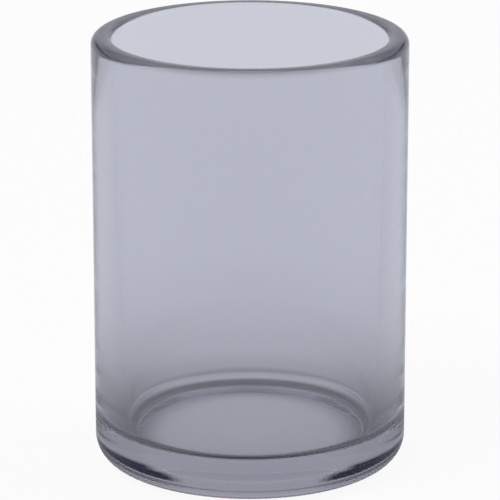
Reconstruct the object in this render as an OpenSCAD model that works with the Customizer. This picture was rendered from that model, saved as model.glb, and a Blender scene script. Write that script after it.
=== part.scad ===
// Bathroom tumbler of heavy pressed glass, all one piece.
// The origin is on the axis, in the plane that the foot ring rests on, and +Z points up.

/* [Body] */
// Outside diameter of the wall at the rim
body_w = 75; // [66:0.5:100]
// How much less the outside diameter is at the top of the heel
taper_w = 0.4; // [0:0.1:2]
// Height from the foot ring to the top of the rim
body_h = 104.5; // [80:0.5:150]
// Thickness of the wall at the rim
wall_rim = 4.9; // [4.4:0.1:6]
// Thickness of the wall where the bore meets its floor
wall_foot = 7; // [5:0.1:10]

/* [Rim] */
// Radius of the fire-polished edge on the outside of the rim
rim_outer_r = 2.2; // [1:0.1:2.2]
// Radius of the fire-polished edge on the inside of the rim
rim_inner_r = 1.4; // [0.5:0.1:2.1]

/* [Base] */
// Thickness of the glass from the foot ring's plane to the floor of the bore
floor_t = 9.3; // [7:0.1:25]
// Radius of the corner between the bore and its floor
corner_r = 3; // [1:0.5:10]
// Radius of the heel, the round edge between the wall and the foot ring
heel_r = 6.4; // [2:0.1:9]

/* [Foot] */
// Width of the flat ring that the tumbler rests on
ring_w = 1.8; // [1.5:0.1:7]
// Height of the underside's middle panel above the foot ring
panel_rise = 2; // [0.2:0.1:3]
// Width of the slope between the foot ring and the panel
panel_slope_w = 0.6; // [0.3:0.1:3]

/* [Knurl] */
// Number of fine grooves across the foot ring
groove_count = 120; // [40:4:180]
// Width of a groove where it opens in the face of the ring
groove_w = 0.7; // [0.3:0.05:0.75]
// Depth of a groove
groove_d = 0.15; // [0.05:0.01:0.15]
// Plain edge that the grooves leave on each side of the ring
groove_edge_w = 0.3; // [0.2:0.1:0.6]

/* [Hidden] */
$fn = 180;

body_r = body_w / 2;
foot_r = body_r - taper_w / 2;
overrun = body_h / 50;

// The outside widens from the heel to the rim, because the glass is drawn out of its mould upward
body_draft = atan((body_r - foot_r) / (body_h - rim_outer_r - heel_r));

// The bore widens from its floor to the rim for the same reason
bore_foot_r = foot_r - wall_foot;
bore_rim_r = body_r - wall_rim;
draft = atan((bore_rim_r - bore_foot_r) / (body_h - floor_t));

// A round is set this share of its radius from a wall that leans by lean degrees.
// The wall then runs into the round at half a degree, and the two surfaces cross cleanly.
function blend_share(lean) = cos(0.5) / cos(lean);

// The foot ring starts where the heel's round ends
heel_mid_r = foot_r - heel_r * blend_share(body_draft);
ring_outer_r = heel_mid_r;
ring_inner_r = ring_outer_r - ring_w;
panel_r = ring_inner_r - panel_slope_w;

// A groove is the edge of a rod laid along a radius of the foot ring
groove_rod_r = (groove_w * groove_w / 4 + groove_d * groove_d) / (2 * groove_d);
groove_l = ring_w - 2 * groove_edge_w;

function body_r_at(z) = foot_r + (z - heel_r) * tan(body_draft);

function bore_r_at(z) = bore_foot_r + (z - floor_t) * tan(draft);

// What a round of radius r takes off the corner between a level face and a wall.
// The round's middle is at the origin, and the wall leans by lean degrees.
module corner_waste(r, lean = 0) {
    reach = r + overrun;
    difference() {
        polygon([[0, 0], [0, reach], [reach, reach], [reach, reach * tan(lean)]]);
        circle(r);
    }
}

// Half section of the glass without the bore: wall, round heel and outer edge of the rim
module outside_outline() {
    rim_mid_r = body_r - rim_outer_r * blend_share(body_draft);
    difference() {
        polygon([[0, 0], [body_r_at(0), 0], [body_r_at(body_h), body_h], [0, body_h]]);
        translate([heel_mid_r, heel_r])
            mirror([0, 1])
                corner_waste(heel_r, body_draft);
        translate([rim_mid_r, body_h - rim_outer_r])
            corner_waste(rim_outer_r, body_draft);
    }
}

// Half section of the bore, with its round corner at the floor and its round edge at the rim
module bore_outline() {
    corner_mid_r = bore_r_at(floor_t + corner_r) - corner_r * blend_share(draft);
    rim_mid_r = bore_r_at(body_h - rim_inner_r) + rim_inner_r * blend_share(draft);
    top = body_h + overrun;
    difference() {
        polygon([[0, floor_t], [bore_foot_r, floor_t], [bore_r_at(top), top], [0, top]]);
        translate([corner_mid_r, floor_t + corner_r])
            mirror([0, 1])
                corner_waste(corner_r, draft);
    }
    translate([rim_mid_r, body_h - rim_inner_r])
        mirror([1, 0])
            corner_waste(rim_inner_r, draft);
}

// Half section of the recess under the panel
module panel_outline() {
    polygon([
        [0, -overrun],
        [ring_inner_r, -overrun],
        [ring_inner_r, 0],
        [panel_r, panel_rise],
        [0, panel_rise]
    ]);
}

module grooves() {
    for (i = [0 : groove_count - 1])
        rotate([0, 0, i * 360 / groove_count])
            translate([ring_inner_r + groove_edge_w, 0, groove_d - groove_rod_r])
                rotate([0, 90, 0])
                    cylinder(r = groove_rod_r, h = groove_l, $fn = 48);
}

module glass_body() {
    color([0.62, 0.64, 0.70, 0.5])
        difference() {
            rotate_extrude()
                difference() {
                    outside_outline();
                    bore_outline();
                    panel_outline();
                }
            grooves();
        }
}

glass_body();
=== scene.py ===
"""Looks of the bathroom tumbler: one body of smoke-grey pressed glass on a pale studio floor.

The glass is a surface of revolution, worked out with numpy in the frame's box. Lengths are in metres.
"""
import math

import bpy
import numpy as np
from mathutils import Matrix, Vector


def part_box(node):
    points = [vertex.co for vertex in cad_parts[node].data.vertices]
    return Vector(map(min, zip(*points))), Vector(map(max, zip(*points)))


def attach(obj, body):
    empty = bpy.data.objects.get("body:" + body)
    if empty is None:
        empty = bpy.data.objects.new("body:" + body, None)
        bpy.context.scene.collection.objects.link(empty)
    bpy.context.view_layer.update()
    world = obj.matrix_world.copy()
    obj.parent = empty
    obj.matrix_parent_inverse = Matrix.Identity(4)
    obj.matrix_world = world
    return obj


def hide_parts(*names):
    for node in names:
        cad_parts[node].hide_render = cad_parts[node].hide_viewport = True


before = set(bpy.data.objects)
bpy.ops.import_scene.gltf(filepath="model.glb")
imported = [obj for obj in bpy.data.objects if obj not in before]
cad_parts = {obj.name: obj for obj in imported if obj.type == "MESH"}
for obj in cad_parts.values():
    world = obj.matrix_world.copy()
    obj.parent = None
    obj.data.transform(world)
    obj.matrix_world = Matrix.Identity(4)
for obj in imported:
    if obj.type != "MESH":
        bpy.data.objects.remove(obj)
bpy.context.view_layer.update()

MM = 0.001

# The glass body, as the frame has it
BODY_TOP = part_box("glass_body")[1]
BODY_R = BODY_TOP.x
BODY_H = BODY_TOP.z
TAPER = 0.2 * MM
WALL_RIM = 4.9 * MM
WALL_FOOT = 7.0 * MM
RIM_OUTER_R = 2.2 * MM
RIM_INNER_R = 1.4 * MM
FLOOR_T = 9.3 * MM
CORNER_R = 3.0 * MM
HEEL_R = 6.4 * MM
RING_W = 1.8 * MM
PANEL_RISE = 2.0 * MM
PANEL_SLOPE_W = 0.6 * MM

# The panel sags towards its middle. Narrow stretches beside its edge and the ring's keep both crisp where
# the surface is shaded smooth, and the ring has a plain land on either side of the knurl.
PANEL_SAG = 0.3 * MM
PANEL_EDGE_W = 0.2 * MM
EDGE_DROP = 0.01 * MM
RING_EDGE_W = 0.15 * MM
RING_LAND_W = 0.25 * MM

# The knurl across the foot ring: fine bars about a middle share of the depth, and two slower waves on them
BAR_COUNT = 264
BAR_COLUMNS = 4
BAR_DEPTH = 0.07 * MM
BAR_MIDDLE = 0.5
BAR_SHARE = 0.1
WAVE_COUNTS = (97, 173)
WAVE_SHARE = 0.2
COLUMNS = BAR_COUNT * BAR_COLUMNS
TURN = np.arange(COLUMNS) * 2 * math.pi / COLUMNS

# The same marks run on over the heel as upright streaks, and fade out over its last steps
STREAK_DEPTH = 0.07 * MM
FADE_STEPS = 3

# Steps of the outline over each round
HEEL_STEPS = 16
RIM_OUTER_STEPS = 12
RIM_INNER_STEPS = 9
CORNER_STEPS = 14

# The mould's parting line, a fine groove round the wall above the heel
PARTING_Z = 8.2 * MM
PARTING_W = 0.5 * MM
PARTING_D = 0.005 * MM

# Tint: light is dimmed once where it crosses an outer face, and a little along its way in the glass
COAT_COLOUR = (0.633, 0.636, 0.697, 1.0)
CLEAR_COLOUR = (1.0, 1.0, 1.0, 1.0)
GLASS_IOR = 1.52
DEPTH_COLOUR = (0.30, 0.35, 0.42, 1.0)
DEPTH_DENSITY = 3.0


def straight(start, end, steps):
    """Points along a straight line, the first left out: start plus an even share of the way to end."""
    share = np.linspace(0.0, 1.0, steps + 1)[1:, None]
    return np.array(start) + share * (np.array(end) - np.array(start))


def arc(middle, radius, start_deg, end_deg, steps):
    """Points on a circle, the first left out: the middle plus radius times (cosine, sine) of an angle that
    grows or falls evenly."""
    angle = np.radians(np.linspace(start_deg, end_deg, steps + 1)[1:])
    return np.array(middle) + radius * np.stack([np.cos(angle), np.sin(angle)], 1)


def sagging(edge_r, steps):
    """Points along the panel from its middle to edge_r, the first left out: the height is the panel's rise
    less the sag, plus the sag times the square of the share of the way."""
    share = np.linspace(0.0, 1.0, steps + 1)[1:]
    return np.stack([edge_r * share, PANEL_RISE - PANEL_SAG + PANEL_SAG * share ** 2], 1)


def glass_outline():
    """The half section of the glass as rows of (radius, height), with each row's share of coat and the
    depth of its marks. It runs from the middle of the underside, round the outside, over the rim and down
    the bore to the middle of its floor, both middles left out.

    The bore's radius grows in a straight line from its floor to the rim. Each round is a part of a circle
    that touches both its faces, so a round at the bore stops where the leaning wall touches it. The last
    number of each straight or sagging stretch is its count of steps."""
    foot_r = BODY_R - TAPER
    bore_foot_r = foot_r - WALL_FOOT
    slope = (WALL_FOOT + TAPER - WALL_RIM) / (BODY_H - FLOOR_T)
    lean = math.atan(slope)
    lean_deg = math.degrees(lean)
    ring_outer = foot_r - HEEL_R
    ring_inner = ring_outer - RING_W
    panel_r = ring_inner - PANEL_SLOPE_W
    panel_flat_r = panel_r - PANEL_EDGE_W
    land_inner = ring_inner + RING_LAND_W
    land_outer = ring_outer - RING_LAND_W
    streaks = STREAK_DEPTH * np.minimum(1, np.arange(HEEL_STEPS)[::-1] / FADE_STEPS)

    corner_z = FLOOR_T + CORNER_R
    corner_mid = bore_foot_r + slope * CORNER_R - CORNER_R / math.cos(lean)
    corner_start = (corner_mid + CORNER_R * math.cos(lean), corner_z - CORNER_R * math.sin(lean))
    rim_z = BODY_H - RIM_INNER_R
    rim_mid = bore_foot_r + slope * (rim_z - FLOOR_T) + RIM_INNER_R / math.cos(lean)
    rim_outer_mid = (BODY_R - RIM_OUTER_R, BODY_H - RIM_OUTER_R)
    rim_inner_arc = arc((rim_mid, rim_z), RIM_INNER_R, 90, 180 + lean_deg, RIM_INNER_STEPS)
    parting_low = PARTING_Z - PARTING_W / 2
    parting_high = PARTING_Z + PARTING_W / 2

    # Each part's points, its share of coat and the depth of its marks
    parts = [
        (sagging(panel_flat_r, 7), 1, 0),
        (straight((panel_flat_r, PANEL_RISE), (panel_r, PANEL_RISE - EDGE_DROP), 1), 1, 0),
        (straight((panel_r, PANEL_RISE - EDGE_DROP), (ring_inner, EDGE_DROP), 3), 1, 0),
        (straight((ring_inner, EDGE_DROP), (ring_inner + RING_EDGE_W, 0), 1), 1, 0),
        (straight((ring_inner + RING_EDGE_W, 0), (land_inner, 0), 1), 1, 0),
        (straight((land_inner, 0), (land_outer, 0), 5), 1, BAR_DEPTH),
        (straight((land_outer, 0), (ring_outer, 0), 1), 1, 0),
        (arc((ring_outer, HEEL_R), HEEL_R, -90, 0, HEEL_STEPS), 1, streaks),
        (straight((foot_r, HEEL_R), (foot_r, parting_low), 2), 1, 0),
        (straight((foot_r, parting_low), (foot_r - PARTING_D, PARTING_Z), 1), 1, 0),
        (straight((foot_r - PARTING_D, PARTING_Z), (foot_r, parting_high), 1), 1, 0),
        (straight((foot_r, parting_high), (BODY_R, BODY_H - RIM_OUTER_R), 6), 1, 0),
        (arc(rim_outer_mid, RIM_OUTER_R, 0, 90, RIM_OUTER_STEPS), 1, 0),
        (rim_inner_arc, 0, 0),
        (straight(rim_inner_arc[-1], corner_start, 5), 0, 0),
        (arc((corner_mid, corner_z), CORNER_R, -lean_deg, -90, CORNER_STEPS), 0, 0),
        (straight((corner_mid, FLOOR_T), (0, FLOOR_T), 2), 0, 0),
    ]
    rows = np.concatenate([points for points, _, _ in parts])
    coat = np.concatenate([np.full(len(points), share) for points, share, _ in parts])
    marks = np.concatenate([np.full(len(points), depth) for points, _, depth in parts])
    return rows[:-1], coat[:-1], marks[:-1]


def uneven_bars():
    """How deep each column's mark is, as a share of the full depth: the middle share, less a cosine that
    repeats with each bar, plus the sines of two slower waves."""
    waves = sum(np.sin(count * TURN) for count in WAVE_COUNTS)
    return BAR_MIDDLE - BAR_SHARE * np.cos(BAR_COUNT * TURN) + WAVE_SHARE * waves


def revolved(name, rows, dents, coat, low_middle, high_middle):
    """A closed surface: each row of (radius, height) is turned about the axis in even steps, each point is
    moved in along the outline's normal by its dent, and a fan to a middle point closes each end. The normal
    is the outline's step from the row before to the row after, turned by a quarter."""
    count = len(rows)
    step = np.gradient(rows, axis=0)
    step /= np.linalg.norm(step, axis=1)[:, None]
    radius = rows[:, 0, None] - step[:, 1, None] * dents
    height = rows[:, 1, None] + step[:, 0, None] * dents
    ring = np.stack([radius * np.cos(TURN), radius * np.sin(TURN), height], -1)
    points = np.concatenate([[(0, 0, low_middle)], ring.reshape(-1, 3), [(0, 0, high_middle)]])

    here = np.arange(COLUMNS)
    after = (here + 1) % COLUMNS
    base = 1 + COLUMNS * np.arange(count - 1)[:, None]
    above = base + COLUMNS
    walls = np.stack([base + here, base + after, above + after, above + here], -1).reshape(-1, 4)
    low_fan = np.stack([np.zeros_like(here), 1 + after, 1 + here], 1)
    top = 1 + COLUMNS * (count - 1)
    high_fan = np.stack([np.full_like(here, len(points) - 1), top + here, top + after], 1)

    mesh = bpy.data.meshes.new(name)
    mesh.from_pydata(points.tolist(), [], walls.tolist() + low_fan.tolist() + high_fan.tolist())
    mesh.polygons.foreach_set("use_smooth", np.ones(len(mesh.polygons), bool))
    coat_values = np.concatenate([[1], np.repeat(coat, COLUMNS), [0]]).astype(np.float32)
    mesh.attributes.new("coat", "FLOAT", "POINT").data.foreach_set("value", coat_values)
    mesh.update()
    piece = bpy.data.objects.new(name, mesh)
    bpy.context.scene.collection.objects.link(piece)
    return piece


def socket(node, name, kind="inputs"):
    """A node's socket with this name that is in use, since a Mix node has several of the same name."""
    return next(s for s in getattr(node, kind) if s.name == name and s.enabled)


def add_node(tree, kind, links=(), values=(), **settings):
    """A new node in a tree, with its settings, its sockets' values and the links into it."""
    node = tree.nodes.new(kind)
    for key, value in settings.items():
        setattr(node, key, value)
    for name, value in dict(values).items():
        target = node.inputs[name] if isinstance(name, int) else socket(node, name)
        target.default_value = value
    for name, source in dict(links).items():
        target = node.inputs[name] if isinstance(name, int) else socket(node, name)
        tree.links.new(source, target)
    return node


def share_between(tree, source, start, end):
    """How far a value has come on its way from start to end, from 0 to 1 and no further."""
    limits = {"From Min": start, "From Max": end, "To Min": 0.0, "To Max": 1.0}
    return add_node(tree, "ShaderNodeMapRange", links={"Value": source}, values=limits).outputs[0]


def mixed(tree, share, first, second):
    """The first colour where share is 0, the second where it is 1, and an even blend between."""
    links = {"Factor": share, "A": first, "B": second}
    return socket(add_node(tree, "ShaderNodeMix", data_type="RGBA", links=links), "Result", "outputs")


def blended(tree, kind, source, colour):
    """A colour blended with a fixed one, by the given kind of blend at full strength."""
    node = add_node(tree, "ShaderNodeMix", data_type="RGBA", blend_type=kind,
                    links={"A": source}, values={"Factor": 1.0, "B": colour})
    return socket(node, "Result", "outputs")


def smoke_glass():
    """Clear glass, tinted where the coat attribute is 1, and dimmed slightly with depth."""
    material = bpy.data.materials.new("smoke_glass")
    material.use_nodes = True
    tree = material.node_tree
    shader = tree.nodes["Principled BSDF"]
    shader.inputs["Transmission Weight"].default_value = 1.0
    shader.inputs["Roughness"].default_value = 0.0
    shader.inputs["IOR"].default_value = GLASS_IOR
    coat = add_node(tree, "ShaderNodeAttribute", attribute_name="coat")
    tint = add_node(tree, "ShaderNodeMix", data_type="RGBA",
                    links={"Factor": coat.outputs["Fac"]}, values={"A": CLEAR_COLOUR, "B": COAT_COLOUR})
    tree.links.new(socket(tint, "Result", "outputs"), shader.inputs["Base Color"])
    depth = add_node(tree, "ShaderNodeVolumeAbsorption",
                     values={"Color": DEPTH_COLOUR, "Density": DEPTH_DENSITY})
    tree.links.new(depth.outputs["Volume"], tree.nodes["Material Output"].inputs["Volume"])
    return material


# Studio: the camera sees the floor as a white glow with a small share of lit paper, which holds the shadow
WHITE = (1.0, 1.0, 1.0, 1.0)
PAPER_COLOUR = (0.92, 0.92, 0.92, 1.0)
PAPER_SHARE = 0.08
FLOOR_HALF = 2.6
FLOOR_GAP = 0.2 * MM
FLOOR_REACH = 0.5
FLOOR_COLOUR = (0.96, 0.98, 1.05, 1.0)

# Light of the floor by distance from the axis, behind the object and in front of it
# Painted shadow of the object round its foot, darker near it and more so in front, and a painted bright
# ring behind
BACK_FLOOR_PAINTED_SHADOW_AND_RING = [
    (0.000, 0.60), (0.024, 0.60), (0.030, 0.30), (0.034, 0.08), (0.038, 0.20), (0.042, 0.60),
    (0.045, 0.60), (0.050, 0.38), (0.060, 0.48), (0.080, 0.65), (0.120, 0.78), (0.160, 0.82),
    (0.300, 0.80), (0.500, 0.76),
]
FRONT_FLOOR_PAINTED_SHADOW = [
    (0.000, 0.60), (0.021, 0.50), (0.026, 0.05), (0.030, 0.00), (0.034, 0.27), (0.040, 0.05),
    (0.060, 0.00), (0.120, 0.45), (0.500, 0.75),
]

# The studio behind the object in belts, one above the other: a belt's height, the place where its flags
# end, and its light at the far sides, at the dark flags that stand beside the object, and straight behind
SKY_COLOUR = (1.0, 0.98, 1.07, 1.0)
BELTS = [
    (0.08, 0.30, 0.60, 0.60, 0.60),
    (0.15, 0.30, 0.50, 0.50, 0.55),
    (0.18, 0.30, 0.00, 0.00, 0.55),
    (0.26, 0.28, 0.00, 0.00, 0.55),
    (0.31, 0.22, 0.00, 0.00, 0.55),
    (0.33, 0.20, 0.50, 0.50, 0.55),
    (0.38, 0.27, 0.50, 0.50, 0.55),
    (0.48, 0.27, 0.80, 0.20, 0.40),
    (0.65, 0.27, 1.00, 0.70, 0.50),
    (0.90, 0.27, 1.00, 0.80, 0.60),
]
FLAG_EDGE_W = 0.05
FLAG_COLOUR = (0.025, 0.03, 0.055, 1.0)

# The dimmer room in front of the object by height, and the strip across which it gives way to the belts
FRONT_SKY = [(0, 0.90), (0.40, 0.30), (1, 0.10)]
ROOM_END = -0.15
BELTS_START = 0.05

# The camera's distance from the axis and height, its tilt down in radians and its lens in millimetres
CAMERA_AWAY = 0.888
CAMERA_HEIGHT = 0.3159
CAMERA_TILT = 0.2894
CAMERA_LENS = 279.2

# Round lamps: name, place, size and power
LAMP_AIM = (0, 0, 0.05)
LAMPS = [
    ("key_light", (-0.6, -0.5, 1.2), 0.6, 6),
    ("fill_light", (0.9, 0.2, 1.0), 0.5, 3),
]
LIGHT_BOUNCES = 64


def camera_and_glass_rays(tree):
    """Two values: the first is 1 for a ray straight from the camera, and the second is 1 for a ray that
    comes by way of glass or gloss."""
    path = add_node(tree, "ShaderNodeLightPath")
    both = add_node(tree, "ShaderNodeMath", operation="MAXIMUM",
                    links={0: path.outputs["Is Glossy Ray"], 1: path.outputs["Is Transmission Ray"]})
    return path.outputs["Is Camera Ray"], both.outputs[0]


def ramp(tree, source, stops):
    """A value that follows source through the given (place, value) stops."""
    node = add_node(tree, "ShaderNodeValToRGB", links={0: source})
    node.color_ramp.interpolation = "LINEAR"
    elements = node.color_ramp.elements
    for element, (place, value) in zip(list(elements), (stops[0], stops[-1])):
        element.position = place
        element.color = (value, value, value, 1)
    for place, value in stops[1:-1]:
        element = elements.new(place)
        element.color = (value, value, value, 1)
    return node.outputs["Color"]


def belt(tree, source, flag_end, side, flag, centre):
    """The light of one belt from left to right: from the far side's to the flag's at flag_end, then to the
    centre's a flag edge further in, and back the same way on the other side."""
    half = [(0, side), (flag_end, flag), (flag_end + FLAG_EDGE_W, centre)]
    return ramp(tree, source, half + [(1 - place, value) for place, value in reversed(half)])


def studio_world():
    """White for the camera. For light and glass, belts of light behind the object, one above the other with
    a blend between neighbours, and a dimmer room in front, nowhere darker than the flags' cloth."""
    world = bpy.data.worlds.new("studio")
    bpy.context.scene.world = world
    world.use_nodes = True
    tree = world.node_tree
    view = add_node(tree, "ShaderNodeTexCoord")
    axes = add_node(tree, "ShaderNodeSeparateXYZ", links={0: view.outputs["Generated"]})
    level = add_node(tree, "ShaderNodeCombineXYZ", links={0: axes.outputs[0], 1: axes.outputs[1]})
    unit = add_node(tree, "ShaderNodeVectorMath", operation="NORMALIZE", links={0: level.outputs[0]})
    around = add_node(tree, "ShaderNodeSeparateXYZ", links={0: unit.outputs[0]})
    side = share_between(tree, around.outputs[0], -1.0, 1.0)
    height = axes.outputs[2]

    belts = belt(tree, side, *BELTS[0][1:])
    for (start, *_), (end, *lights) in zip(BELTS, BELTS[1:]):
        share = share_between(tree, height, start, end)
        belts = mixed(tree, share, belts, belt(tree, side, *lights))
    behind = share_between(tree, axes.outputs[1], ROOM_END, BELTS_START)
    room = mixed(tree, behind, ramp(tree, height, FRONT_SKY), belts)
    coloured = blended(tree, "MULTIPLY", room, SKY_COLOUR)
    cloth = blended(tree, "LIGHTEN", coloured, FLAG_COLOUR)
    camera_ray, _ = camera_and_glass_rays(tree)
    final = add_node(tree, "ShaderNodeMix", data_type="RGBA",
                     links={"Factor": camera_ray, "A": cloth}, values={"B": WHITE})
    tree.links.new(socket(final, "Result", "outputs"), tree.nodes["Background"].inputs["Color"])


def studio_floor():
    """A level pale sheet. The camera sees it almost white with a trace of the object's shadow. Glass shows
    a glow of the sheet with painted shade: a painted shadow of the object round its foot, darker near it
    and more so in front, and a painted bright ring of focused light behind. These change with the distance
    from the object's axis and blend with the direction from what the back has to what the front has."""
    half = FLOOR_HALF
    mesh = bpy.data.meshes.new("studio_floor")
    mesh.from_pydata([(-half, -half, -FLOOR_GAP), (half, -half, -FLOOR_GAP),
                      (half, half, -FLOOR_GAP), (-half, half, -FLOOR_GAP)], [], [(0, 1, 2, 3)])
    floor = bpy.data.objects.new("studio_floor", mesh)
    bpy.context.scene.collection.objects.link(floor)
    material = bpy.data.materials.new("studio_floor")
    material.use_nodes = True
    tree = material.node_tree
    tree.nodes.remove(tree.nodes["Principled BSDF"])

    place = add_node(tree, "ShaderNodeTexCoord").outputs["Object"]
    distance = add_node(tree, "ShaderNodeVectorMath", operation="LENGTH", links={0: place})
    share = add_node(tree, "ShaderNodeMath", operation="DIVIDE",
                     links={0: distance.outputs["Value"]}, values={1: FLOOR_REACH})
    front, back = (ramp(tree, share.outputs[0], [(reach / FLOOR_REACH, light) for reach, light in stops])
                   for stops in (FRONT_FLOOR_PAINTED_SHADOW, BACK_FLOOR_PAINTED_SHADOW_AND_RING))
    unit = add_node(tree, "ShaderNodeVectorMath", operation="NORMALIZE", links={0: place})
    ahead = add_node(tree, "ShaderNodeSeparateXYZ", links={0: unit.outputs[0]})
    behind = share_between(tree, ahead.outputs[1], -1.0, 1.0)
    # The glow carries the painted shadow and the painted bright ring, for rays by way of glass or gloss
    glow_with_painted_shadow = add_node(tree, "ShaderNodeEmission", values={"Color": FLOOR_COLOUR},
                    links={"Strength": mixed(tree, behind, front, back)})

    paper = add_node(tree, "ShaderNodeBsdfDiffuse", values={"Color": PAPER_COLOUR})
    white = add_node(tree, "ShaderNodeEmission", values={"Color": WHITE, "Strength": 1.0})
    shown = add_node(tree, "ShaderNodeMixShader", values={0: PAPER_SHARE},
                     links={1: white.outputs[0], 2: paper.outputs[0]})
    camera_ray, glass_ray = camera_and_glass_rays(tree)
    unseen = add_node(tree, "ShaderNodeMixShader",
                      links={0: glass_ray, 1: paper.outputs[0], 2: glow_with_painted_shadow.outputs[0]})
    final = add_node(tree, "ShaderNodeMixShader",
                     links={0: camera_ray, 1: unseen.outputs[0], 2: shown.outputs[0]})
    tree.links.new(final.outputs[0], tree.nodes["Material Output"].inputs["Surface"])
    floor.data.materials.append(material)


def studio_camera():
    """The camera of the photograph, with a long lens, looking down into the tumbler from well away."""
    lens = bpy.data.cameras.new("studio_camera")
    lens.sensor_width = 36
    lens.lens = CAMERA_LENS
    lens.clip_start = 0.01
    lens.clip_end = 20
    camera = bpy.data.objects.new("studio_camera", lens)
    camera.location = (0, -CAMERA_AWAY, CAMERA_HEIGHT)
    camera.rotation_euler = (math.pi / 2 - CAMERA_TILT, 0, 0)
    bpy.context.scene.collection.objects.link(camera)
    bpy.context.scene.camera = camera


def lamp(name, place, size, power):
    """A round soft light at a place, turned towards the tumbler and not seen in it."""
    light = bpy.data.lights.new(name, "AREA")
    light.shape = "DISK"
    light.size = size
    light.energy = power
    holder = bpy.data.objects.new(name, light)
    holder.location = place
    way = np.array(LAMP_AIM) - np.array(place)
    tilt = math.atan2(math.hypot(way[0], way[1]), -way[2])
    holder.rotation_euler = (tilt, 0, math.atan2(way[1], way[0]) - math.pi / 2)
    holder.visible_glossy = False
    holder.visible_transmission = False
    bpy.context.scene.collection.objects.link(holder)


rows, coat, marks = glass_outline()
dents = marks[:, None] * uneven_bars()
glass = revolved("tumbler_glass", rows, dents, coat, PANEL_RISE - PANEL_SAG, FLOOR_T)
glass.data.materials.append(smoke_glass())
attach(glass, "root")
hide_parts("glass_body")

studio_world()
studio_floor()
studio_camera()
for name, place, size, power in LAMPS:
    lamp(name, place, size, power)

scene = bpy.context.scene
scene.view_settings.view_transform = "Standard"
scene.cycles.max_bounces = LIGHT_BOUNCES
scene.cycles.transmission_bounces = LIGHT_BOUNCES
scene.cycles.glossy_bounces = LIGHT_BOUNCES
